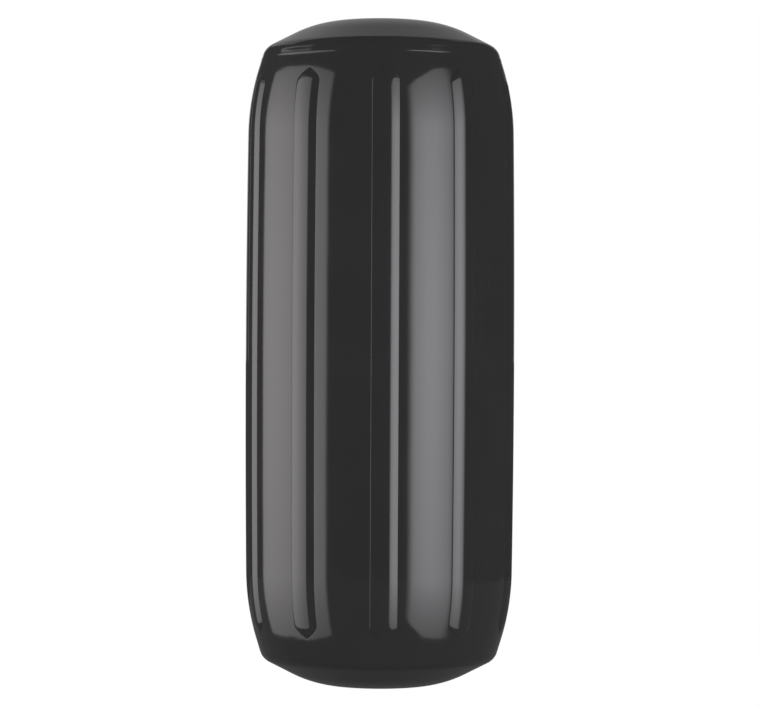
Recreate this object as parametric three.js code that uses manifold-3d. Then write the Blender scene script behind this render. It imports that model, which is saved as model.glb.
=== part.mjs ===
import * as THREE from 'three';
import { mergeVertices } from 'three/addons/utils/BufferGeometryUtils.js';
import Module from 'manifold-3d';

// Inflatable fender of black vinyl, moulded in one piece round a rope tube that runs through its
// middle, with ten raised ribs and a needle valve in one end.
// Millimetres. +Z runs up the rope tube, and the origin is the centre of the tube's upper mouth.
// Outlines are drawn as (radius, depth), with depth counted down from the upper end.

// Body
const overallLength = 504;
const bodyDiameter = 204;
const skinWall = 3.9;

// Ends: a flat land round the mouth, a shallow cone, and a rounded shoulder
const endConeHeight = 20.8;
const endConeAngle = THREE.MathUtils.degToRad(27);
const crownRound = 88;
const shoulderInset = 13.5;
const shoulderRound = 12.5;

// Side: the taper under the shoulder, the haunch that rounds it off, and the barrel's slow swell
const taperAngle = THREE.MathUtils.degToRad(17);
const haunchRound = 182;
const barrelSwell = 1.4;

// Line left by the lid of the mould, on the upper end only
const mouldLineDepth = 29.2;
const mouldLineWidth = 1.6;
const mouldLineHeight = 0.5;

// Ribs. Each has a straight bar's section and a pointed tip, arched in plan, whose crest runs down to
// the skin along a straight slope that is shorter than the tip.
const ribCount = 10;
const ribRound = 24.2;
const ribHeight = 2.2;
const ribEndDepth = 41;
const ribTipLength = 10.5;
const ribTipArch = 1.77;
const ribSlopeLength = 7.8;

// Rope tube
const ropeBore = 22;
const tubeWall = 4;
const mouthRound = 5.5;
const tubeRootRound = 5;

// Needle valve, in the upper cone, set in from the body's widest place
const valveInset = 34;
const valvePadRadius = 11.5;
const valvePadHeight = 1;
const screwHeadDiameter = 16;
const screwHeadHeight = 2.6;
const screwBarrelLength = 7;
const screwSlotWidth = 1.6;
const screwSlotDepth = 1.2;
const valveBoreDiameter = 10.6;
const plugLength = 10;
const needleHoleDiameter = 1.8;
const airHoleDiameter = 6;
const bossWall = 4;
const clearance = 0.3;
const edgeRound = 0.6;

// Fineness of the facets
const aroundBody = 50;
const aroundChamber = 30;
const aroundTube = 24;
const aroundValve = 16;
const skinSteps = { crown: 4, edge: 3, side: 3, barrel: 2 };
const chamberSteps = { crown: 2, edge: 2, side: 2, barrel: 1 };
const fineSteps = { crown: 12, edge: 24, side: 24, barrel: 12 };
const ribSteps = { around: 30, straight: 3, tip: 4 };
const hollowSteps = { around: 10, straight: 2, tip: 1 };

const vinylColour = 0x1b1b1c;
const rubberColour = 0x141414;
const nylonColour = 0x2a2a2b;

const bodyRadius = bodyDiameter / 2;
const halfLength = overallLength / 2;
const boreRadius = ropeBore / 2;
const tubeRadius = boreRadius + tubeWall;
const valveRadius = bodyRadius - valveInset;
const overlap = 1;

const wasm = await Module();
wasm.setup();

// Joins and cuts

function solid(geometry) {
  const bare = geometry.index ? geometry.clone() : geometry;
  bare.deleteAttribute('normal');
  bare.deleteAttribute('uv');
  const merged = mergeVertices(bare, 1e-5);
  const corners = merged.index.array;
  const kept = [];
  for (let i = 0; i < corners.length; i += 3) {
    const [a, b, c] = corners.slice(i, i + 3);
    if (a !== b && b !== c && c !== a) kept.push(a, b, c);
  }
  return new wasm.Manifold(new wasm.Mesh({
    numProp: 3,
    vertProperties: Float32Array.from(merged.attributes.position.array),
    triVerts: Uint32Array.from(kept),
  }));
}

function meshOf(name, shape, material) {
  const { vertProperties, triVerts } = shape.getMesh();
  const geometry = new THREE.BufferGeometry();
  geometry.setAttribute('position', new THREE.BufferAttribute(vertProperties, 3));
  geometry.setIndex(new THREE.BufferAttribute(triVerts, 1));
  geometry.computeVertexNormals();
  const mesh = new THREE.Mesh(geometry, material);
  mesh.name = name;
  return mesh;
}

// Turns an outline of (radius, depth) points round the Z axis. The outline is walked downwards on
// its outer side. The first facet starts a quarter of a facet off the Y axis, so that no edge lies in
// the middle plane of a rib.
function revolve(outline, segments) {
  const points = outline.map((p) => new THREE.Vector2(Math.max(p.x, 0), -p.y)).reverse();
  const firstFacet = Math.PI / 2 / segments;
  return new THREE.LatheGeometry(points, segments, firstFacet).rotateX(Math.PI / 2);
}

// Outlines

function corner(radius, depth, round = 0, steps = 1) {
  return { at: new THREE.Vector2(radius, depth), round, steps };
}

// Rounds each corner of an open chain by an arc that touches both of its sides. A round that is too
// large for its sides shrinks to fit between its neighbours.
function roundedChain(corners) {
  const points = [];
  let used = 0;
  corners.forEach((here, i) => {
    const before = corners[i - 1];
    const after = corners[i + 1];
    if (!before || !after || !here.round) {
      points.push(here.at.clone());
      used = 0;
      return;
    }
    const back = before.at.clone().sub(here.at);
    const ahead = after.at.clone().sub(here.at);
    const room = Math.min(back.length() - used, ahead.length());
    back.normalize();
    ahead.normalize();
    const turn = Math.PI - Math.acos(THREE.MathUtils.clamp(back.dot(ahead), -1, 1));
    const reach = Math.min(here.round * Math.tan(turn / 2), room);
    const radius = reach / Math.tan(turn / 2);
    const centre = back.clone().add(ahead).normalize()
      .multiplyScalar(radius / Math.cos(turn / 2)).add(here.at);
    const first = here.at.clone().addScaledVector(back, reach).sub(centre);
    const last = here.at.clone().addScaledVector(ahead, reach).sub(centre);
    const side = Math.sign(first.cross(last));
    for (let k = 0; k <= here.steps; k += 1) {
      const spoke = first.clone().rotateAround(new THREE.Vector2(), side * turn * k / here.steps);
      points.push(spoke.add(centre));
    }
    used = reach;
  });
  return points.filter((p, i) => i === 0 || p.distanceTo(points[i - 1]) > 1e-6);
}

// Moves a chain of corners inwards by one distance, as a wall of even thickness does.
function offsetChain(corners, distance) {
  const inward = (from, to) => {
    const along = to.clone().sub(from).normalize();
    return new THREE.Vector2(-along.y, along.x);
  };
  return corners.map((here, i) => {
    const before = corners[i - 1] ?? here;
    const after = corners[i + 1] ?? here;
    const first = inward(before === here ? here.at : before.at, before === here ? after.at : here.at);
    const second = inward(after === here ? before.at : here.at, after === here ? here.at : after.at);
    const shift = first.clone().add(second).multiplyScalar(distance / (1 + first.dot(second)));
    const round = here.round ? Math.max(here.round - distance, edgeRound) : 0;
    return { at: here.at.clone().add(shift), round, steps: here.steps };
  });
}

// Half of the body's side view, from the middle of the end land to the widest place.
const shoulder = new THREE.Vector2(bodyRadius - shoulderInset, endConeHeight);
const crownRadius = shoulder.x - endConeHeight / Math.tan(endConeAngle);
const haunch = new THREE.Vector2(bodyRadius - barrelSwell, 0);
haunch.y = shoulder.y + (haunch.x - shoulder.x) / Math.tan(taperAngle);
const haunchEnd = haunch.y + haunchRound * Math.tan(taperAngle / 2);
const swellDepth = (haunchEnd + halfLength) / 2;

function halfBody({ crown, edge, side, barrel }) {
  return [
    corner(0, 0),
    corner(crownRadius, 0, crownRound, crown),
    corner(shoulder.x, shoulder.y, shoulderRound, edge),
    corner(haunch.x, haunch.y, haunchRound, side),
    corner(bodyRadius, swellDepth, overallLength * 100, barrel),
    corner(bodyRadius, halfLength),
  ];
}

// The mould line is a low ridge on the straight taper.
function withMouldLine(corners) {
  const onTaper = (depth, height) => corner(
    shoulder.x + (depth - shoulder.y) * Math.tan(taperAngle) + height * Math.cos(taperAngle),
    depth - height * Math.sin(taperAngle),
  );
  const ridge = [
    onTaper(mouldLineDepth - mouldLineWidth / 2, 0),
    onTaper(mouldLineDepth, mouldLineHeight),
    onTaper(mouldLineDepth + mouldLineWidth / 2, 0),
  ];
  return [...corners.slice(0, 3), ...ridge, ...corners.slice(3)];
}

function mirrored(points) {
  return points.map((p) => new THREE.Vector2(p.x, overallLength - p.y)).reverse();
}

// Body and air chamber

const upperSkin = roundedChain(withMouldLine(halfBody(skinSteps)));
const lowerSkin = mirrored(roundedChain(halfBody(skinSteps)));
const skin = solid(revolve([...upperSkin, ...lowerSkin.slice(1)], aroundBody));

function chamberOutline() {
  const inner = offsetChain(halfBody(chamberSteps), skinWall);
  inner[0] = corner(tubeRadius, skinWall, tubeRootRound, 2);
  const half = roundedChain([corner(tubeRadius, halfLength), ...inner]).slice(1);
  return [...half, ...mirrored(half).slice(1), half[0].clone()];
}

const chamber = solid(revolve(chamberOutline(), aroundChamber));

// Ribs

// Radius and slope of the skin at a depth, without the mould line.
const fineHalf = roundedChain(halfBody(fineSteps));
const fineSkin = [...fineHalf, ...mirrored(fineHalf).slice(1)];

function skinAt(depth) {
  const i = fineSkin.findIndex((p, k) => k > 1 && p.y >= depth);
  const [low, high] = [fineSkin[i - 1], fineSkin[i]];
  const share = (depth - low.y) / (high.y - low.y);
  return new THREE.Vector2().lerpVectors(low, high, share);
}

function outwardAt(depth) {
  const step = 2;
  const along = skinAt(depth + step).sub(skinAt(depth - step)).normalize();
  return new THREE.Vector2(along.y, -along.x);
}

// Half of a rib's width, where a full section meets the skin.
const ribAxis = bodyRadius - (ribRound - ribHeight);
const ribMeets = (bodyRadius ** 2 - ribRound ** 2 + ribAxis ** 2) / (2 * ribAxis);
const ribHalfWidth = Math.sqrt(bodyRadius ** 2 - ribMeets ** 2);

// Depth, crest height and radius of a rib's section, at a share of the tip from its point.
function tipSection(share) {
  const depth = ribEndDepth + share * ribTipLength;
  const across = ribHalfWidth * (1 - (1 - share) ** ribTipArch);
  const crest = ribHeight * Math.min(share * ribTipLength / ribSlopeLength, 1);
  const rise = crest + bodyRadius - Math.sqrt(bodyRadius ** 2 - across ** 2);
  return { depth, crest, radius: rise > 0 ? (across ** 2 + rise ** 2) / (2 * rise) : 0 };
}

// Sections of a rib from end to end. The rows crowd towards the tips, where the skin curves most.
function ribSections({ straight, tip }) {
  const tipRows = Array.from({ length: tip + 1 }, (_, k) => tipSection(k / tip));
  const full = tipRows[tip];
  const straightRows = Array.from({ length: straight }, (_, k) => ({
    ...full,
    depth: halfLength - (halfLength - full.depth) * Math.cos((k + 1) / straight * Math.PI / 2),
  }));
  const half = [...tipRows, ...straightRows];
  const lower = half.slice(0, -1).map((row) => ({ ...row, depth: overallLength - row.depth }));
  return [...half, ...lower.reverse()];
}

// A pointed bar that lies along the skin with its crest standing proud. With a wall, it is the hollow
// behind that bar instead.
function ribBar(steps, wall = 0) {
  const sections = ribSections(steps);
  const rows = sections.length - 1;
  const bar = new THREE.CylinderGeometry(1, 1, 1, steps.around, rows, true);
  const position = bar.attributes.position;
  for (let i = 0; i < position.count; i += 1) {
    const { depth, crest, radius } = sections[Math.round((0.5 - position.getY(i)) * rows)];
    const size = radius * (1 - wall / ribRound);
    const up = crest - wall - size * (1 - position.getZ(i));
    const place = skinAt(depth).addScaledVector(outwardAt(depth), up);
    position.setXYZ(i, -size * position.getX(i), place.x, -place.y);
  }
  return bar;
}

function ribPattern(steps, wall) {
  const bar = solid(ribBar(steps, wall));
  const pitch = 360 / ribCount;
  return Array.from({ length: ribCount }, (_, k) => bar.rotate([0, 0, 180 + k * pitch]));
}

function joined(shapes) {
  return shapes.reduce((whole, shape) => whole.add(shape));
}

const ribs = ribPattern(ribSteps);
const ribHollows = ribPattern(hollowSteps, skinWall);

// Rope tube's bore, with its rounded mouths

function boreOutline() {
  const mouth = (depth, outwards) => Array.from({ length: 5 }, (_, k) => {
    const turn = k * Math.PI / 8;
    const radius = boreRadius + mouthRound * (1 - Math.sin(turn));
    return new THREE.Vector2(radius, depth + outwards * mouthRound * (1 - Math.cos(turn)));
  });
  const top = mouth(0, 1);
  return [
    new THREE.Vector2(0, -overlap),
    new THREE.Vector2(top[0].x, -overlap),
    ...top,
    ...mirrored(top),
    new THREE.Vector2(top[0].x, overallLength + overlap),
    new THREE.Vector2(0, overallLength + overlap),
  ];
}

const bore = solid(revolve(boreOutline(), aroundTube));

// Needle valve. Its own axis points out of the cone, and its zero is the top of the valve's pad.

const valve = new THREE.Group();
const valveSkin = new THREE.Vector2(valveRadius, (valveRadius - crownRadius) * Math.tan(endConeAngle));
valve.rotation.x = -endConeAngle;
valve.position.set(
  0,
  valveSkin.x + valvePadHeight * Math.sin(endConeAngle),
  -valveSkin.y + valvePadHeight * Math.cos(endConeAngle),
);
valve.updateMatrix();

const headFloor = screwHeadHeight + clearance;
const barrelEnd = screwHeadHeight + screwBarrelLength;
const plugTop = barrelEnd + clearance;
const plugEnd = plugTop + plugLength;
const plugSeat = plugEnd + clearance;
const bossEnd = plugSeat + bossWall;
const bossRadius = valveBoreDiameter / 2 + bossWall;
const stemRadius = valveBoreDiameter / 2 - clearance;

function stepped(...places) {
  return places.map(([radius, depth]) => new THREE.Vector2(radius, depth));
}

function placedAtValve(outline) {
  return solid(revolve(outline, aroundValve).applyMatrix4(valve.matrix));
}

const valvePad = placedAtValve(stepped(
  [0, 0],
  [valvePadRadius - edgeRound, 0],
  [valvePadRadius, edgeRound],
  [valvePadRadius, skinWall],
  [bossRadius, skinWall + (valvePadRadius - bossRadius)],
  [bossRadius, bossEnd],
  [0, bossEnd],
));

const valveHole = placedAtValve(stepped(
  [0, -overlap],
  [screwHeadDiameter / 2 + clearance, -overlap],
  [screwHeadDiameter / 2 + clearance, headFloor],
  [valveBoreDiameter / 2, headFloor],
  [valveBoreDiameter / 2, plugSeat],
  [airHoleDiameter / 2, plugSeat],
  [airHoleDiameter / 2, bossEnd + overlap],
  [0, bossEnd + overlap],
));

const vinyl = new THREE.MeshStandardMaterial({ color: vinylColour, roughness: 0.25, metalness: 0 });
const body = skin
  .add(joined(ribs))
  .add(valvePad)
  .subtract(joined([chamber, ...ribHollows]).subtract(valvePad))
  .subtract(bore)
  .subtract(valveHole);

// Rubber plug that an inflating needle passes through

const plug = solid(revolve(stepped(
  [needleHoleDiameter / 2, plugTop],
  [stemRadius - edgeRound, plugTop],
  [stemRadius, plugTop + edgeRound],
  [stemRadius, plugTop + plugLength * 0.3],
  [stemRadius - edgeRound, plugTop + plugLength * 0.4],
  [stemRadius - edgeRound, plugTop + plugLength * 0.6],
  [stemRadius, plugTop + plugLength * 0.7],
  [stemRadius, plugEnd - edgeRound],
  [stemRadius - edgeRound, plugEnd],
  [needleHoleDiameter / 2, plugEnd],
  [needleHoleDiameter / 2, plugTop],
), aroundValve));

// Slotted screw that closes the valve

function valveScrew() {
  const headRadius = screwHeadDiameter / 2;
  const turned = solid(revolve(stepped(
    [0, 0],
    [headRadius - 2 * edgeRound, 0],
    [headRadius, edgeRound],
    [headRadius, screwHeadHeight],
    [stemRadius, screwHeadHeight],
    [stemRadius, barrelEnd - edgeRound],
    [stemRadius - edgeRound, barrelEnd],
    [0, barrelEnd],
  ), aroundValve));
  const slot = new THREE.BoxGeometry(screwHeadDiameter + overlap, screwSlotWidth, 2 * screwSlotDepth);
  return turned.subtract(solid(slot));
}

const rubber = new THREE.MeshStandardMaterial({ color: rubberColour, roughness: 0.7, metalness: 0 });
const nylon = new THREE.MeshStandardMaterial({ color: nylonColour, roughness: 0.45, metalness: 0 });

valve.add(meshOf('valve_plug', plug, rubber));
valve.add(meshOf('valve_screw', valveScrew(), nylon));

const fender = new THREE.Group();
fender.add(meshOf('fender_body', body, vinyl));
fender.add(valve);

export default fender;
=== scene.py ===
import math

import bmesh
import bpy
from mathutils import Matrix, Vector


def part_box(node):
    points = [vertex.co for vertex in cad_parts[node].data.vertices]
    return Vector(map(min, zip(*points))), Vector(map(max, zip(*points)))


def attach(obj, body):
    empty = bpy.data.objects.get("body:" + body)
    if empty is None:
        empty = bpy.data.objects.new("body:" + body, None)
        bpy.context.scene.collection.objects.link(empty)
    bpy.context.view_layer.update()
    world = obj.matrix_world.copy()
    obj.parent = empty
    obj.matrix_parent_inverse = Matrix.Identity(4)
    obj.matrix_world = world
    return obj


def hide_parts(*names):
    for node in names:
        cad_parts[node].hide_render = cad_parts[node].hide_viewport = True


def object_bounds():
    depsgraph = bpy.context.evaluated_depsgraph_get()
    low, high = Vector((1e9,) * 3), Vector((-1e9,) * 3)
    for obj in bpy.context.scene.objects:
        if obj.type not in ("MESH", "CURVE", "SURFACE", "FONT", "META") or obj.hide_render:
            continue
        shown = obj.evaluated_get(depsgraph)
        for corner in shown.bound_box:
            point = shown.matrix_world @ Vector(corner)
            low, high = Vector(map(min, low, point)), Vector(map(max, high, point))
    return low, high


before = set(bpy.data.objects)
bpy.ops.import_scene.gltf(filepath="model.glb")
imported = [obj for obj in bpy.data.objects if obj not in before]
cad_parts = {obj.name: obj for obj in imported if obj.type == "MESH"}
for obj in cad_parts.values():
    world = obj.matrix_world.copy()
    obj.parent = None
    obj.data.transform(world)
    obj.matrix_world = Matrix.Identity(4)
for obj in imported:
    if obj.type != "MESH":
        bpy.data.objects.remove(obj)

bl_info = {
    "name": "Inflatable Fender",
    "version": (1, 0, 0),
    "blender": (4, 5, 0),
    "location": "View3D > Sidebar > Fender",
    "description": "Builds a ribbed inflatable fender, its needle valve, its vinyl and a small studio",
    "category": "Add Mesh",
}

CAD_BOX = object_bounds()
MM = 0.001


# Settings

def length(name, description, value_mm):
    return bpy.props.FloatProperty(
        name=name, description=description, default=value_mm * MM, min=0, precision=5,
        subtype="DISTANCE", unit="LENGTH",
    )


def angle(name, description, degrees):
    return bpy.props.FloatProperty(
        name=name, description=description, default=math.radians(degrees),
        subtype="ANGLE", unit="ROTATION",
    )


def amount(name, description, value):
    return bpy.props.FloatProperty(
        name=name, description=description, default=value, min=0, max=1, precision=3,
    )


def colour(name, description, value):
    return bpy.props.FloatVectorProperty(
        name=name, description=description, default=value, size=3, min=0, max=1, subtype="COLOR",
    )


class FenderSizes(bpy.types.PropertyGroup):
    """Sizes of the moulded body and its valve."""

    diameter: length("Diameter", "Body without its ribs, at the middle", 204)
    cone_height: length("End cone height", "From the end land to the shoulder's corner", 20.8)
    cone_angle: angle("End cone angle", "Slope of the end cone", 27)
    crown_round: length("Crown round", "Round between the end land and the cone", 88)
    shoulder_inset: length("Shoulder inset", "Shoulder's corner, inwards from the widest place", 13.5)
    shoulder_round: length("Shoulder round", "Round of the shoulder", 12.5)
    taper_angle: angle("Taper angle", "Lean of the side below the shoulder", 17)
    haunch_round: length("Haunch round", "Round between the taper and the barrel", 182)
    barrel_swell: length("Barrel swell", "How much the barrel swells past the haunch", 1.4)
    line_depth: length("Mould line depth", "Mould line, below the upper end", 29.2)
    line_width: length("Mould line width", "Width of the mould line", 1.7)
    line_height: length("Mould line height", "Height of the mould line", 0.15)
    ribs: bpy.props.IntProperty(name="Ribs", description="Ribs round the body", default=10, min=3)
    rib_width: length("Rib width", "From crease to crease, across a rib", 20.4)
    rib_height: length("Rib height", "How far a rib stands out of the skin", 1.95)
    rib_crown: amount("Rib crown", "Share of a rib's width that is round, between straight flanks", 0.82)
    rib_end: length("Rib end depth", "From the end of the body to a rib's point", 41)
    rib_tip: length("Rib tip length", "From a rib's point to its full width", 10.5)
    rib_arch: bpy.props.FloatProperty(
        name="Rib tip arch", description="Power of the arch that a rib's tip has in plan",
        default=1.77, min=1,
    )
    rib_slope: length("Rib slope length", "From a rib's point to its full height", 7.8)
    rib_turn: length("Rib slope turn", "Length over which the slope turns into the crest", 1.6)
    rib_foot: length("Rib foot", "Height over which a rib runs into its groove", 0.2)
    rib_groove: length("Rib groove", "Depth of the fine groove along a rib's foot", 0.045)
    bore: length("Rope bore", "Diameter of the rope tube", 22)
    mouth_round: length("Mouth round", "Round of the tube's mouths", 5.5)
    valve_inset: length("Valve inset", "Valve, inwards from the widest place", 34)
    pad_radius: length("Valve pad radius", "Raised pad round the valve", 11.5)
    pad_height: length("Valve pad height", "How far the pad stands out of the cone", 1)
    head_diameter: length("Screw head", "Diameter of the valve screw's head", 16)
    head_height: length("Screw head height", "Height of the valve screw's head", 2.6)
    barrel_length: length("Screw barrel", "Length of the valve screw's barrel", 7)
    valve_bore: length("Valve bore", "Diameter of the bore for the screw and the plug", 10.6)
    plug_length: length("Plug length", "Length of the rubber plug under the screw", 10)
    air_hole: length("Air hole", "Diameter of the hole under the plug", 6)
    air_hole_depth: length("Air hole depth", "How deep the hole under the plug goes", 3.8)
    slot_width: length("Screw slot width", "Width of the slot", 1.6)
    slot_depth: length("Screw slot depth", "Depth of the slot", 1.2)
    thread_pitch: length("Thread pitch", "Pitch of the screw's thread", 1.5)
    thread_height: length("Thread height", "Height of the screw's thread", 0.6)
    clearance: length("Clearance", "Gap between the valve's pieces", 0.3)


class FenderColours(bpy.types.PropertyGroup):
    """Colours of the fender's materials."""

    vinyl: colour("Vinyl", "Black vinyl", (0.0235, 0.0235, 0.0237))
    vinyl_light: colour("Worn vinyl", "Vinyl where it is handled", (0.0285, 0.0284, 0.0284))
    rubber: colour("Rubber", "Valve rubber", (0.012, 0.012, 0.0118))
    rubber_light: colour("Dusty rubber", "Valve rubber with chalk on it", (0.03, 0.029, 0.028))
    nylon: colour("Nylon", "Valve screw", (0.028, 0.028, 0.029))
    nylon_light: colour("Scuffed nylon", "Valve screw where a driver has marked it", (0.07, 0.07, 0.07))


class FenderStudio(bpy.types.PropertyGroup):
    """The camera, the light panels and the floor."""

    camera_distance: length("Camera distance", "Camera to the middle of the fender", 2540)
    camera_azimuth: angle("Camera azimuth", "Turn of the camera round the fender", -2.05)
    camera_elevation: angle("Camera elevation", "Camera above the middle of the fender", -0.2)
    camera_roll: angle("Camera roll", "Turn of the camera about its own axis", 0.28)
    lens: bpy.props.FloatProperty(
        name="Lens", description="Focal length in millimetres, on a 36 mm sensor", default=158.2,
    )
    floor_drop: length("Floor drop", "Floor below the lower end, which hangs clear of it", 1250)
    floor_size: length("Floor size", "Width of the floor", 24000)
    floor_haze: length("Floor haze", "Distance at which the floor has turned to plain white", 1600)
    floor_grey: amount("Floor grey", "Grey of the floor that the fender meets", 0.17)
    fill: amount("Fill", "Even light of the surroundings on the fender's colours", 0.68)
    dark: amount("Dark surroundings", "Light that the gloss meets between the panels", 0.045)


# Shader maths

class Signal:
    """One socket of a shader, with the sums that can be written on it."""

    def __init__(self, shader, socket):
        self.shader = shader
        self.socket = socket

    def maths(self, operation, *values, **settings):
        inputs = {i: v for i, v in enumerate((self, *values))}
        return self.shader.node("ShaderNodeMath", {"operation": operation, **settings}, inputs)["Value"]

    def __add__(self, other):
        return self.maths("ADD", other)

    def __sub__(self, other):
        return self.maths("SUBTRACT", other)

    def __rsub__(self, other):
        return self.maths("MULTIPLY", -1) + other

    def __mul__(self, other):
        return self.maths("MULTIPLY", other)

    def __truediv__(self, other):
        return self.maths("DIVIDE", other)

    def __rtruediv__(self, other):
        return self.maths("POWER", -1) * other

    def __pow__(self, other):
        return self.maths("POWER", other)

    __radd__ = __add__
    __rmul__ = __mul__

    def root(self):
        return self.maths("SQRT")

    def clamped(self):
        return self.maths("ADD", 0.0, use_clamp=True)

    def ramp(self, low, high):
        """0 at low, 1 at high, with a smooth step between them."""
        settings = {"interpolation_type": "SMOOTHSTEP"}
        inputs = {"Value": self, "From Min": low, "From Max": high, "To Min": 0.0, "To Max": 1.0}
        return self.shader.node("ShaderNodeMapRange", settings, inputs)["Result"]


class Made:
    """A node that has been made. Its outputs are signals, by name."""

    def __init__(self, shader, node):
        self.shader = shader
        self.node = node

    def __getitem__(self, name):
        outputs = self.node.outputs
        found = [s for s in outputs if s.enabled and s.name == name]
        return Signal(self.shader, found[0] if found else outputs[name])


class Shader:
    """A material or world whose nodes come from one method."""

    def __init__(self, owner):
        owner.use_nodes = True
        self.tree = owner.node_tree
        self.tree.nodes.clear()
        is_world = isinstance(owner, bpy.types.World)
        self.output = "ShaderNodeOutputWorld" if is_world else "ShaderNodeOutputMaterial"

    def node(self, kind, settings=None, inputs=None):
        node = self.tree.nodes.new(kind)
        for name, value in (settings or {}).items():
            setattr(node, name, value)
        for name, value in (inputs or {}).items():
            socket = self.socket(node, name)
            if isinstance(value, Signal):
                self.tree.links.new(value.socket, socket)
            else:
                socket.default_value = value
        return Made(self, node)

    @staticmethod
    def socket(node, name):
        if isinstance(name, int):
            return node.inputs[name]
        return [s for s in node.inputs if s.enabled and s.name == name][0]

    def place(self):
        return self.node("ShaderNodeTexCoord")["Object"]

    def axes(self):
        parts = self.node("ShaderNodeSeparateXYZ", inputs={"Vector": self.place()})
        return parts["X"], parts["Y"], parts["Z"]

    def stretched(self, scale):
        return self.node("ShaderNodeMapping", inputs={"Vector": self.place(), "Scale": scale})["Vector"]

    def noise(self, scale, detail=2.0, roughness=0.5, place=None):
        inputs = {
            "Vector": place or self.place(), "Scale": scale, "Detail": detail, "Roughness": roughness,
        }
        return self.node("ShaderNodeTexNoise", {"noise_dimensions": "3D"}, inputs)["Fac"]

    def blend(self, share, first, second):
        settings = {"data_type": "RGBA", "blend_type": "MIX"}
        return self.node("ShaderNodeMix", settings, {"Factor": share, "A": first, "B": second})["Result"]

    def bump(self, height, distance, strength, normal=None):
        inputs = {"Height": height, "Distance": distance, "Strength": strength}
        if normal:
            inputs["Normal"] = normal
        return self.node("ShaderNodeBump", inputs=inputs)["Normal"]

    def finish(self, surface):
        self.node(self.output, inputs={"Surface": surface})


def new_material(name):
    material = bpy.data.materials.new(name)
    return material, Shader(material)


def opaque(value):
    return (*value, 1.0)


def vinyl_material(colours, sizes):
    """Glossy black vinyl: a skin with a faint slow ripple, fine peel, and light scuffs on the ribs."""
    material, shader = new_material("black_vinyl")
    x, y, z = shader.axes()
    radius = (x * x + y * y).root()
    crest = radius.ramp(sizes.diameter / 2 + 0.9 * MM, sizes.diameter / 2 + 2.1 * MM)
    cloud = shader.noise(9.0, 3.0)
    scuffs = shader.noise(60.0, 4.0, 0.65, shader.stretched((1.0, 1.0, 0.16))).ramp(0.52, 0.72)
    wear = (scuffs * crest * 0.7 + scuffs * 0.12).clamped()
    base = shader.blend(
        (cloud.ramp(0.35, 0.65) * 0.5 + wear * 0.5).clamped(),
        opaque(colours.vinyl), opaque(colours.vinyl_light),
    )
    rough = cloud.ramp(0.3, 0.7) * 0.025 + wear * 0.08 + 0.065
    ripple = shader.bump(shader.noise(18.0, 1.0), 0.12 * MM, 1.0)
    peel = shader.bump(shader.noise(420.0, 2.0), 0.006 * MM, 1.0, ripple)
    surface = shader.node("ShaderNodeBsdfPrincipled", inputs={
        "Base Color": base, "Roughness": rough, "Normal": peel, "IOR": 1.5,
    })["BSDF"]
    shader.finish(surface)
    return material


def rubber_material(colours):
    """Matt valve rubber with a little chalk in its pores."""
    material, shader = new_material("valve_rubber")
    pores = shader.noise(900.0, 3.0)
    chalk = shader.noise(260.0, 4.0, 0.6).ramp(0.5, 0.75)
    base = shader.blend(chalk * 0.5, opaque(colours.rubber), opaque(colours.rubber_light))
    surface = shader.node("ShaderNodeBsdfPrincipled", inputs={
        "Base Color": base, "Roughness": chalk * 0.1 + 0.62, "IOR": 1.52,
        "Normal": shader.bump(pores, 0.05 * MM, 0.6),
    })["BSDF"]
    shader.finish(surface)
    return material


def nylon_material(colours):
    """Satin moulded nylon, marked a little round its slot."""
    material, shader = new_material("valve_nylon")
    grain = shader.noise(1400.0, 2.0)
    marks = shader.noise(500.0, 5.0, 0.7, shader.stretched((1.0, 0.2, 1.0))).ramp(0.56, 0.7)
    base = shader.blend(marks * 0.45, opaque(colours.nylon), opaque(colours.nylon_light))
    surface = shader.node("ShaderNodeBsdfPrincipled", inputs={
        "Base Color": base, "Roughness": marks * 0.15 + 0.34, "IOR": 1.53,
        "Normal": shader.bump(grain, 0.02 * MM, 0.5),
    })["BSDF"]
    shader.finish(surface)
    return material


# Outline of the body

def rounded_chain(corners):
    """Rounds the corners of an open chain by arcs that touch both of their sides. A corner is
    (radius, depth, round, steps)."""
    points = []
    used = 0.0
    for i, (radius, depth, size, steps) in enumerate(corners):
        here = Vector((radius, depth))
        if size == 0:
            points.append(here)
            used = 0.0
            continue
        back = Vector(corners[i - 1][:2]) - here
        ahead = Vector(corners[i + 1][:2]) - here
        room = min(back.length - used, ahead.length)
        back.normalize()
        ahead.normalize()
        turn = math.pi - back.angle(ahead)
        reach = min(size * math.tan(turn / 2), room)
        arc = reach / math.tan(turn / 2)
        centre = here + (back + ahead).normalized() * (arc / math.cos(turn / 2))
        spoke = here + back * reach - centre
        other = here + ahead * reach - centre
        side = math.copysign(1.0, spoke.x * other.y - spoke.y * other.x)
        for k in range(steps + 1):
            points.append(centre + Matrix.Rotation(side * turn * k / steps, 2) @ spoke)
        used = reach
    return [p for i, p in enumerate(points) if i == 0 or (p - points[i - 1]).length > 1e-7]


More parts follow.
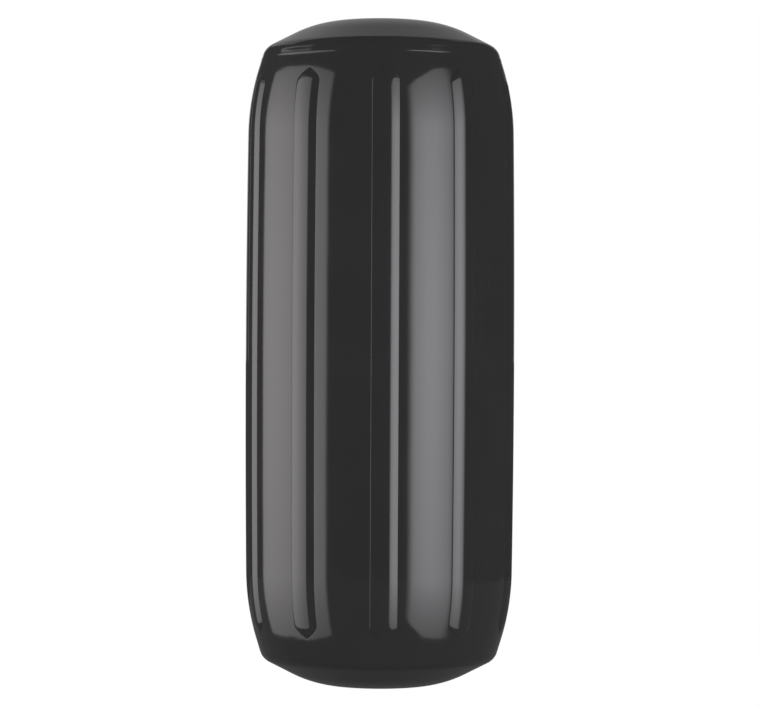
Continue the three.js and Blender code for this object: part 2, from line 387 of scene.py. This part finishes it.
class SideView:
    """The body's outline: half of its side, from the middle of the upper land to the widest place."""

    def __init__(self, sizes):
        self.sizes = sizes
        low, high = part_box("fender_body")
        self.top = high.z
        self.whole = high.z - low.z
        self.half = self.whole / 2
        self.widest = sizes.diameter / 2
        self.shoulder = Vector((self.widest - sizes.shoulder_inset, sizes.cone_height))
        self.crown = self.shoulder.x - sizes.cone_height / math.tan(sizes.cone_angle)
        haunch_x = self.widest - sizes.barrel_swell
        lean = math.tan(sizes.taper_angle)
        self.haunch = Vector((haunch_x, self.shoulder.y + (haunch_x - self.shoulder.x) / lean))
        haunch_end = self.haunch.y + sizes.haunch_round * math.tan(sizes.taper_angle / 2)
        self.swell_depth = (haunch_end + self.half) / 2
        self.fine = self.chain(24, 32, 48, 32)

    def chain(self, crown, edge, side, barrel):
        """The rounded outline, with the number of steps in each of its rounds."""
        s = self.sizes
        return rounded_chain([
            (0.0, 0.0, 0.0, 1),
            (self.crown, 0.0, s.crown_round, crown),
            (*self.shoulder, s.shoulder_round, edge),
            (*self.haunch, s.haunch_round, side),
            (self.widest, self.swell_depth, 100 * self.whole, barrel),
            (self.widest, self.half, 0.0, 1),
        ])

    def at(self, depth):
        """A point of the side below the crown, and the direction outwards there."""
        i = next(k for k, p in enumerate(self.fine) if k > 1 and p.y >= depth - 1e-9)
        low, high = self.fine[i - 1], self.fine[i]
        share = (depth - low.y) / (high.y - low.y)
        along = self.fine[min(i + 1, len(self.fine) - 1)] - self.fine[max(i - 2, 0)]
        along.normalize()
        return low.lerp(high, share), Vector((along.y, -along.x))


# The body's mesh has rows from the middle of the bore over the upper end to the widest place, and
# columns down its side. Both lie closer together near a rib's crease. The gaps are millimetres from
# a rib's point to the rows before it, and the columns are millimetres from a rib's crease.

END_STEPS = {"crown": 16, "edge": 14, "mouth": 8}
LINE_ROWS = 8
TIP_ROWS = 14
BARREL_ROWS = 14
NEAR_STEP, FAR_STEP, FAR_STEPS = 2 * MM, 4 * MM, 9
POINT_GAPS = (0.35, 0.7, 1.2, 2.2)
COLUMNS_OUT = (0.0, 0.15, 0.4, 0.8, 1.4, 2.4, 4.5, 8.0, 12.0, 16.0, 20.5)
COLUMNS_IN = (0.06, 0.3, 0.8, 1.4, 2.6, 4.2, 6.2, 8.2, 10.2)


def bore_rows(view):
    s = view.sizes
    bore = s.bore / 2
    rows = [(bore, depth) for depth in (view.half, view.half / 2, 50 * MM, 15 * MM)]
    for k in range(END_STEPS["mouth"] + 1):
        turn = math.pi / 2 * (1 - k / END_STEPS["mouth"])
        rows.append((bore + s.mouth_round * (1 - math.sin(turn)), s.mouth_round * (1 - math.cos(turn))))
    return rows


def side_depths(view, with_line):
    """Depths of the rows below the shoulder, close together where a rib's tip or the mould line is."""
    s = view.sizes
    full = s.rib_end + s.rib_tip
    half_turn = (math.pi / 2 - s.cone_angle - s.taper_angle) / 2
    start = view.shoulder.y + s.shoulder_round * math.tan(half_turn) * math.cos(s.taper_angle)
    depths = {view.half}
    if with_line:
        line_rows = range(-LINE_ROWS // 2, LINE_ROWS // 2 + 1)
        depths.update(s.line_depth + s.line_width * k / LINE_ROWS for k in line_rows)
        depths.update(s.line_depth + s.line_width / 2 + k * NEAR_STEP for k in range(1, 4))
    else:
        depths.update(start + k * NEAR_STEP for k in range(1, 6))
    depths.update(s.rib_end - gap * MM for gap in POINT_GAPS)
    depths.update(full - s.rib_tip * math.cos(math.pi / 2 * k / TIP_ROWS) for k in range(TIP_ROWS + 1))
    depths.update(s.rib_end + s.rib_slope + s.rib_turn * k / 4 for k in (-2, -1, 0, 1, 2))
    depths.update(full + FAR_STEP * k for k in range(1, FAR_STEPS + 1))
    last = full + FAR_STEP * FAR_STEPS
    depths.update(last + (view.half - last) * k / BARREL_ROWS for k in range(1, BARREL_ROWS))
    kept = []
    for depth in sorted(depths):
        if depth > start + 0.2 * MM and (not kept or depth - kept[-1] > 0.12 * MM):
            kept.append(depth)
    return kept


def line_bulge(sizes, depth):
    """Height of the mould line at a depth."""
    off = abs(depth - sizes.line_depth) / (sizes.line_width / 2)
    return sizes.line_height * (0.5 + 0.5 * math.cos(math.pi * off)) if off < 1 else 0.0


def half_rows(view, with_line):
    """(radius, depth, direction outwards) of each row, from the bore's middle to the widest place."""
    s = view.sizes
    chain = [(p.x, p.y) for p in view.chain(END_STEPS["crown"], END_STEPS["edge"], 1, 1)]
    # The chain starts on the axis. An arc of n steps has n + 1 points.
    edge_first = END_STEPS["crown"] + 2
    crown, edge = chain[1:edge_first], chain[edge_first:edge_first + END_STEPS["edge"] + 1]
    cone_start, cone_end = Vector(crown[-1]), Vector(edge[0])
    cone = [tuple(cone_start.lerp(cone_end, k / 5)) for k in range(1, 5)]
    land = s.bore / 2 + s.mouth_round
    middle_land = ((land + crown[0][0]) / 2, 0.0)
    end = [*bore_rows(view), middle_land, *crown, *cone, *edge]
    rows = [(Vector(p), None) for p in end]
    for depth in side_depths(view, with_line):
        point, outwards = view.at(depth)
        if with_line:
            point = point + outwards * line_bulge(s, depth)
        rows.append((point, outwards))
    return rows


def body_rows(view):
    """All rows: over the upper end, down the side and back up the bore."""
    upper = half_rows(view, True)
    lower = [
        (Vector((p.x, view.whole - p.y)), Vector((out.x, -out.y)) if out else None)
        for p, out in reversed(half_rows(view, False)[:-1])
    ]
    return upper + lower


# Ribs

def rib_section(view, depth):
    """Half of a rib's width, and the height of its crest, at a depth. Past the point, the crest goes
    on downwards, below the skin."""
    s = view.sizes
    along = min(depth, view.whole - depth) - s.rib_end
    share = min(max(along / s.rib_tip, 0.0), 1.0)
    half_width = s.rib_width / 2 * (1 - (1 - share) ** s.rib_arch)
    short = along - s.rib_slope
    near = max(s.rib_turn / 2 - abs(short), 0.0)
    crest = s.rib_slope + min(short, 0.0) - near ** 2 / (2 * s.rib_turn)
    return half_width, s.rib_height * crest / s.rib_slope


def skin_drop(radius, across):
    """How far the plain skin falls away from its tangent, at a distance across."""
    return radius - math.sqrt(radius ** 2 - across ** 2)


def rib_rise(view, radius, depth, across):
    """How far the surface stands out of the plain skin, with a fine groove at the rib's foot."""
    s = view.sizes
    half_width, crest = rib_section(view, depth)
    if half_width > 0 and crest > 0:
        share = across / half_width
        crown = s.rib_crown
        drop = share ** 2 / crown if share < crown else 2 * share - crown
        whole_drop = crest + skin_drop(radius, half_width)
        gap = crest - whole_drop * drop / (2 - crown) + skin_drop(radius, across)
    else:
        gap = crest - across * 2 * s.rib_height / s.rib_width
    reach = s.rib_foot if gap < 0 else s.rib_foot / 4
    near = max(1 - abs(gap) / reach, 0.0)
    return max(gap, 0.0) - s.rib_groove * near ** 2


def sector_columns():
    """Places across one rib's sector: (side, inside share, outside share)."""
    widest_in, widest_out = COLUMNS_IN[-1], COLUMNS_OUT[-1]
    inside = [1 - c / widest_in for c in COLUMNS_IN]
    outside = [c / widest_out for c in COLUMNS_OUT]
    right = [(1, i, None) for i in reversed(inside[:-1])] + [(1, None, o) for o in outside]
    left = [(-1, i, o) for _, i, o in reversed(right)]
    return [*left, (1, 0.0, None), *right]


def build_body(sizes):
    """One sector of the skin is a grid whose lines follow the rib's edge. It is repeated round the
    rope tube and joined into one closed surface."""
    view = SideView(sizes)
    rows = body_rows(view)
    columns = sector_columns()
    sector = math.pi / sizes.ribs
    mesh = bmesh.new()
    bmesh.ops.create_grid(mesh, x_segments=len(columns) - 1, y_segments=len(rows) - 1, size=0.5)
    for vert in mesh.verts:
        side, inside, outside = columns[round((vert.co.x + 0.5) * (len(columns) - 1))]
        point, outwards = rows[round((vert.co.y + 0.5) * (len(rows) - 1))]
        radius, depth = point
        edge = rib_section(view, depth)[0] if outwards else 0.0
        if inside is None:
            turn = math.asin(edge / radius)
            turn += (sector - turn) * outside
        else:
            turn = math.asin(edge * inside / radius)
        if outwards:
            rise = rib_rise(view, radius, depth, radius * math.sin(turn))
            radius += rise * outwards.x
            depth += rise * outwards.y
        turn *= side
        vert.co = (radius * math.sin(turn), -radius * math.cos(turn), view.top - depth)
    bmesh.ops.spin(
        mesh, geom=mesh.verts[:] + mesh.edges[:] + mesh.faces[:], cent=(0, 0, 0), axis=(0, 0, 1),
        dvec=(0, 0, 0), angle=2 * sector * (sizes.ribs - 1), steps=sizes.ribs - 1,
        use_duplicate=True,
    )
    bmesh.ops.remove_doubles(mesh, verts=mesh.verts[:], dist=0.002 * MM)
    bmesh.ops.dissolve_degenerate(mesh, edges=mesh.edges[:], dist=0.001 * MM)
    bmesh.ops.recalc_face_normals(mesh, faces=mesh.faces[:])
    return mesh


# Valve

def valve_matrix(sizes):
    """The valve's own axis points out of the upper cone, and its zero is the top of its pad."""
    view = SideView(sizes)
    lean = sizes.cone_angle
    radius = view.widest - sizes.valve_inset
    depth = (radius - view.crown) * math.tan(lean)
    out = Vector((0, math.sin(lean), math.cos(lean)))
    place = Vector((0, radius, view.top - depth)) + out * sizes.pad_height
    return Matrix.Translation(place) @ Matrix.Rotation(-lean, 4, "X")


def turned(outline, segments=96):
    """A closed solid turned from an outline of (radius, depth) in millimetres."""
    mesh = bmesh.new()
    verts = [mesh.verts.new((radius * MM, 0, -depth * MM)) for radius, depth in outline]
    edges = [mesh.edges.new(pair) for pair in zip(verts, verts[1:])]
    bmesh.ops.spin(
        mesh, geom=verts + edges, cent=(0, 0, 0), axis=(0, 0, 1), dvec=(0, 0, 0),
        angle=2 * math.pi, steps=segments, use_merge=True,
    )
    bmesh.ops.remove_doubles(mesh, verts=mesh.verts[:], dist=0.001 * MM)
    bmesh.ops.recalc_face_normals(mesh, faces=mesh.faces[:])
    return mesh


def pad_mesh(s):
    """The pad round the valve, rounded on top, with a flared foot that runs into the cone."""
    top = s.pad_radius / MM
    return turned([
        (0, 0), (top - 0.8, 0), (top - 0.5, 0.06), (top - 0.28, 0.22), (top - 0.14, 0.45),
        (top, 0.7), (top + 0.28, 0.95), (top + 0.7, 1.2), (top + 1.2, 1.6), (top + 1.4, 3.0), (0, 3.0),
    ])


def hole_mesh(s):
    """The stepped hole that takes the screw and the plug, with the air hole under them."""
    head = (s.head_diameter / 2 + s.clearance) / MM
    bore = s.valve_bore / 2 / MM
    air = s.air_hole / 2 / MM
    floor = (s.head_height + s.clearance) / MM
    seat = floor + (s.barrel_length + s.plug_length + s.clearance) / MM
    end = seat + s.air_hole_depth / MM
    return turned([
        (0, -1), (head + 0.6, -1), (head + 0.6, -0.3), (head + 0.05, 0.25), (head, 0.4), (head, floor),
        (bore + 0.3, floor), (bore, floor + 0.3), (bore, seat), (air, seat), (air, end), (0, end),
    ])


def screw_mesh(s):
    """The valve screw: a low domed head with a slot, and a threaded barrel."""
    head = s.head_diameter / 2 / MM
    high = s.head_height / MM
    end = high + s.barrel_length / MM
    core = (s.valve_bore / 2 - s.clearance - s.thread_height) / MM
    return turned([
        (0, 0), (head * 0.55, 0.05), (head - 1.2, 0.2), (head - 0.55, 0.42), (head - 0.2, 0.75),
        (head, 1.2), (head, high - 0.25), (head - 0.25, high), (core + 0.4, high),
        (core, high + 0.4), (core, end - 0.6), (core - 0.6, end), (0, end),
    ])


def slot_mesh(s):
    mesh = bmesh.new()
    bmesh.ops.create_cube(mesh, size=1)
    size = (s.head_diameter + 2 * MM, s.slot_width, 2 * s.slot_depth)
    bmesh.ops.scale(mesh, verts=mesh.verts[:], vec=size)
    floor_edges = [e for e in mesh.edges if all(v.co.z < 0 and v.co.y != 0 for v in e.verts)]
    long_edges = [e for e in floor_edges if abs(e.verts[0].co.x - e.verts[1].co.x) > MM]
    bmesh.ops.bevel(
        mesh, geom=long_edges, offset=0.3 * MM, offset_type="OFFSET", segments=3, profile=0.5,
        affect="EDGES", material=-1,
    )
    return mesh


def thread_mesh(s, steps_per_turn=48):
    """A helical ridge on the screw's barrel: its section is spun and lifted step by step."""
    core = s.valve_bore / 2 - s.clearance - s.thread_height
    foot = core - 0.25 * MM
    crest = core + s.thread_height
    turns = (s.barrel_length - 2 * MM) / s.thread_pitch - 1
    low = -(s.head_height + s.barrel_length) + 1 * MM
    half = s.thread_pitch * 0.42
    mesh = bmesh.new()
    section = [(foot, 0), (crest, half - 0.15 * MM), (crest, half + 0.15 * MM), (foot, 2 * half)]
    verts = [mesh.verts.new((radius, 0, low + height)) for radius, height in section]
    face = mesh.faces.new(verts)
    steps = round(turns * steps_per_turn)
    bmesh.ops.spin(
        mesh, geom=[face], cent=(0, 0, 0), axis=(0, 0, 1),
        dvec=(0, 0, s.thread_pitch * turns / steps), angle=2 * math.pi * turns, steps=steps,
    )
    bmesh.ops.holes_fill(mesh, edges=mesh.edges[:])
    bmesh.ops.recalc_face_normals(mesh, faces=mesh.faces[:])
    return mesh


# Pieces

def new_object(name, mesh, material=None):
    """Makes an object of a bmesh, at the origin."""
    data = bpy.data.meshes.new(name)
    mesh.to_mesh(data)
    mesh.free()
    if material:
        data.materials.append(material)
    for polygon in data.polygons:
        polygon.use_smooth = True
    made = bpy.data.objects.new(name, data)
    bpy.context.scene.collection.objects.link(made)
    return made


def moved(mesh, matrix):
    bmesh.ops.transform(mesh, matrix=matrix, verts=mesh.verts[:])
    return mesh


def boolean(piece, tool_mesh, operation):
    """Joins a solid to a piece or cuts it out, and drops the solid."""
    tool = new_object("tool", tool_mesh)
    modifier = piece.modifiers.new(operation, "BOOLEAN")
    modifier.operation = operation
    modifier.solver = "EXACT"
    modifier.object = tool
    result = bpy.data.meshes.new_from_object(
        piece.evaluated_get(bpy.context.evaluated_depsgraph_get()))
    piece.modifiers.remove(modifier)
    piece.data = result
    bpy.data.objects.remove(tool)


def declare(piece, slot_name, *nodes):
    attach(piece, "root")
    if nodes:
        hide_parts(*nodes)


class FENDER_OT_body(bpy.types.Operator):
    """Make the moulded vinyl body with its ribs, mould line, rope tube and valve pad"""

    bl_idname = "fender.body"
    bl_label = "Body"

    def execute(self, context):
        sizes = context.scene.fender_sizes
        material = vinyl_material(context.scene.fender_colours, sizes)
        body = new_object("vinyl_body", build_body(sizes), material)
        place = valve_matrix(sizes)
        boolean(body, moved(pad_mesh(sizes), place), "UNION")
        boolean(body, moved(hole_mesh(sizes), place), "DIFFERENCE")
        body.data.set_sharp_from_angle(angle=math.radians(28))
        declare(body, "vinyl", "fender_body")
        return {"FINISHED"}


class FENDER_OT_valve(bpy.types.Operator):
    """Make the slotted valve screw, and finish the rubber plug under it"""

    bl_idname = "fender.valve"
    bl_label = "Valve"

    def execute(self, context):
        sizes = context.scene.fender_sizes
        colours = context.scene.fender_colours
        place = valve_matrix(sizes)
        screw = new_object("slotted_screw", moved(screw_mesh(sizes), place), nylon_material(colours))
        boolean(screw, moved(slot_mesh(sizes), place), "DIFFERENCE")
        boolean(screw, moved(thread_mesh(sizes), place), "UNION")
        screw.data.set_sharp_from_angle(angle=math.radians(35))
        declare(screw, "nylon", "valve_screw")
        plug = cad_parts["valve_plug"]
        plug.data.materials.clear()
        plug.data.materials.append(rubber_material(colours))
        return {"FINISHED"}


# Studio

def floor_material(studio):
    """A pale floor that shows white to the camera but for the fender's soft shadow. Other rays meet
    a darker floor, as the fender's underside mirrors one."""
    material, shader = new_material("pale_floor")
    x, y, _ = shader.axes()
    far = (x * x + y * y).root().ramp(0.35 * studio.floor_haze, studio.floor_haze)
    glow = shader.node("ShaderNodeEmission", inputs={"Color": (1, 1, 1, 1), "Strength": far * 0.4 + 0.6})
    pale = shader.node("ShaderNodeBsdfDiffuse", inputs={"Color": (0.8, 0.8, 0.8, 1)})
    seen = shader.node("ShaderNodeAddShader", inputs={0: glow["Emission"], 1: pale["BSDF"]})
    grey = studio.floor_grey
    dim = shader.node("ShaderNodeBsdfDiffuse", inputs={"Color": (grey, grey, 1.024 * grey, 1)})
    camera_ray = shader.node("ShaderNodeLightPath")["Is Camera Ray"]
    upper = shader.node("ShaderNodeMixShader", inputs={
        "Fac": camera_ray, 1: dim["BSDF"], 2: seen["Shader"],
    })
    clear = shader.node("ShaderNodeBsdfTransparent")
    below = shader.node("ShaderNodeNewGeometry")["Backfacing"]
    whole = shader.node("ShaderNodeMixShader", inputs={
        "Fac": below, 1: upper["Shader"], 2: clear["BSDF"],
    })
    shader.finish(whole["Shader"])
    return material


def towards(azimuth, elevation):
    """Direction from the fender, with the azimuth from its front to the right."""
    level = math.cos(elevation)
    return Vector((math.sin(azimuth) * level, -math.cos(azimuth) * level, math.sin(elevation)))


class LightPanel:
    """A flat light panel that faces the fender. Its azimuth counts from the camera's side, to the
    right, and its tilt in degrees, up from level. Its corners are (across, up) from the point
    that is nearest to the fender's middle."""

    def __init__(self, azimuth, distance, tilt=0.0):
        self.out = towards(azimuth, math.radians(tilt))
        self.right = Vector((math.cos(azimuth), math.sin(azimuth), 0))
        self.up = self.right.cross(-self.out)
        self.distance = distance

    def make(self, name, centre, corners, strength, tint, fades=(), hot=None):
        """fades are (axis, from, to): the light rises from nothing at from to its full level at to.
        hot is (across, up, width, height) of the brighter middle."""
        middle = centre + self.out * self.distance
        mesh = bmesh.new()
        verts = [mesh.verts.new(middle + self.right * x + self.up * y) for x, y in corners]
        face = mesh.faces.new(verts)
        face.normal_update()
        if face.normal.dot(self.out) > 0:
            face.normal_flip()
        made = new_object(name, mesh, self.material(name, middle, strength, tint, fades, hot))
        made.visible_camera = False
        return made

    def material(self, name, middle, strength, tint, fades, hot):
        material, shader = new_material(name)

        def along(axis):
            dot = shader.node("ShaderNodeVectorMath", {"operation": "DOT_PRODUCT"}, {
                0: shader.place(), 1: tuple(axis),
            })
            return dot["Value"] - middle.dot(axis)

        places = {"across": along(self.right), "up": along(self.up)}
        level = 1.0
        if hot:
            x, y, width, height = hot
            across = (places["across"] - x) / width
            up = (places["up"] - y) / height
            level = (across * across + up * up + 1.0) ** -1.0
        for axis, low, high in fades:
            level = places[axis].ramp(low, high) * level
        shine = shader.node("ShaderNodeEmission", inputs={
            "Color": opaque(tint), "Strength": level * strength,
        })
        clear = shader.node("ShaderNodeBsdfTransparent")
        behind = shader.node("ShaderNodeNewGeometry")["Backfacing"]
        whole = shader.node("ShaderNodeMixShader", inputs={
            "Fac": behind, 1: shine["Emission"], 2: clear["BSDF"],
        })
        shader.finish(whole["Shader"])
        return material


def light_panels(studio, centre):
    """Two large softboxes beside the camera, a smaller soft light over each, a dim wall behind the
    fender and a dim scrim over the space behind it. Corners are in metres."""
    turn = studio.camera_azimuth
    warm, cool, plain = (1.0, 0.967, 0.976), (0.968, 0.968, 1.0), (1.0, 1.0, 1.0)
    right = LightPanel(math.radians(44) + turn, 1.6)
    right.make(
        "right_softbox", centre,
        [(-0.6, -0.88), (-0.02, -1.14), (0.86, -1.14), (0.86, 1.17), (0.2, 1.15), (-0.68, 0.9)],
        strength=5.1, tint=cool, hot=(-0.04, 0.03, 0.72, 0.75),
        fades=[("across", -0.66, -0.42), ("across", 0.86, 0.4)],
    )
    right.make(
        "right_top_light", centre, [(0.35, 1.45), (1.0, 1.6), (1.0, 2.1), (0.35, 2.1)],
        strength=0.55, tint=cool, fades=[("up", 2.1, 1.6)],
    )
    left = LightPanel(math.radians(-65.3) + turn, 1.364)
    left.make(
        "left_softbox", centre,
        [(-1.82, -0.96), (-0.6, -0.89), (0.57, -1.02), (0.57, 1.0), (-0.6, 0.93), (-1.82, 0.98)],
        strength=3.3, tint=warm, hot=(-0.45, 0.05, 1.4, 0.8),
        fades=[("across", -1.82, -1.6), ("across", 0.57, 0.47)],
    )
    left.make(
        "left_top_light", centre, [(-0.33, 1.12), (-0.33, 1.5), (-1.9, 1.6), (-1.9, 1.15)],
        strength=0.95, tint=warm, fades=[("up", 1.6, 1.2)],
    )
    wall = LightPanel(math.radians(180) + turn, 5.0)
    wall.make(
        "rear_wall", centre, [(-1.4, 0.0), (1.4, 0.0), (1.4, 2.1), (-1.4, 2.1)],
        strength=0.34, tint=plain,
    )
    scrim = LightPanel(turn, 2.1, tilt=90)
    scrim.make(
        "rear_scrim", centre, [(-2.0, 1.05), (1.2, 1.05), (1.2, 5.0), (-2.0, 5.0)],
        strength=0.42, tint=plain, hot=(-1.6, 2.5, 3.6, 5.0), fades=[("up", 1.05, 1.3)],
    )


def white_world(scene, studio):
    """White to the camera, and an even fill to what it lights. The gloss meets a dark studio, as the
    vinyl mirrors one between its softboxes. There is no metal or glass that would show the white."""
    world = bpy.data.worlds.new("studio")
    scene.world = world
    shader = Shader(world)

    def background(tint, strength):
        inputs = {"Color": tint, "Strength": strength}
        return shader.node("ShaderNodeBackground", inputs=inputs)["Background"]

    white = background((1, 1, 1, 1), 1.0)
    fill = background((1, 1, 1, 1), studio.fill)
    dark = background((0.95, 0.98, 1, 1), studio.dark)
    ray = shader.node("ShaderNodeLightPath")
    lit = shader.node("ShaderNodeMixShader", inputs={
        "Fac": ray["Is Diffuse Ray"], 1: dark, 2: fill,
    })
    seen = shader.node("ShaderNodeMixShader", inputs={
        "Fac": ray["Is Camera Ray"], 1: lit["Shader"], 2: white,
    })
    shader.finish(seen["Shader"])


def studio_camera(scene, studio, centre):
    back = towards(studio.camera_azimuth, studio.camera_elevation)
    data = bpy.data.cameras.new("camera")
    data.lens = studio.lens
    data.sensor_width = 36.0
    data.sensor_fit = "HORIZONTAL"
    camera = bpy.data.objects.new("camera", data)
    scene.collection.objects.link(camera)
    aim = (-back).to_track_quat("-Z", "Y").to_matrix().to_4x4()
    turn = Matrix.Rotation(studio.camera_roll, 4, "Z")
    camera.matrix_world = Matrix.Translation(centre + back * studio.camera_distance) @ aim @ turn
    scene.camera = camera


class FENDER_OT_stage(bpy.types.Operator):
    """Make the floor, the light panels, the white surroundings and the camera"""

    bl_idname = "fender.stage"
    bl_label = "Studio"

    def execute(self, context):
        scene = context.scene
        studio = scene.fender_studio
        low, high = CAD_BOX
        centre = Vector((0, 0, (low.z + high.z) / 2))
        mesh = bmesh.new()
        bmesh.ops.create_grid(mesh, x_segments=1, y_segments=1, size=studio.floor_size / 2)
        moved(mesh, Matrix.Translation((0, 0, low.z - studio.floor_drop)))
        new_object("floor", mesh, floor_material(studio))
        light_panels(studio, centre)
        white_world(scene, studio)
        scene.view_settings.view_transform = "Standard"
        studio_camera(scene, studio, centre)
        return {"FINISHED"}


class VIEW3D_PT_fender(bpy.types.Panel):
    """Fender tools"""

    bl_idname = "VIEW3D_PT_fender"
    bl_label = "Fender"
    bl_space_type = "VIEW_3D"
    bl_region_type = "UI"
    bl_category = "Fender"

    def draw(self, context):
        for operator in OPERATORS:
            self.layout.operator(operator.bl_idname)
        for group in (context.scene.fender_sizes, context.scene.fender_colours,
                      context.scene.fender_studio):
            box = self.layout.box()
            for name in group.__annotations__:
                box.prop(group, name)


GROUPS = {
    "fender_sizes": FenderSizes,
    "fender_colours": FenderColours,
    "fender_studio": FenderStudio,
}
OPERATORS = (FENDER_OT_body, FENDER_OT_valve, FENDER_OT_stage)


def register():
    for cls in (*GROUPS.values(), *OPERATORS, VIEW3D_PT_fender):
        bpy.utils.register_class(cls)
    for name, group in GROUPS.items():
        setattr(bpy.types.Scene, name, bpy.props.PointerProperty(type=group))


def unregister():
    for name in GROUPS:
        delattr(bpy.types.Scene, name)
    for cls in reversed((*GROUPS.values(), *OPERATORS, VIEW3D_PT_fender)):
        bpy.utils.unregister_class(cls)


def main():
    register()
    bpy.ops.fender.stage()
    bpy.ops.fender.body()
    bpy.ops.fender.valve()


if __name__ == "__main__":
    main()
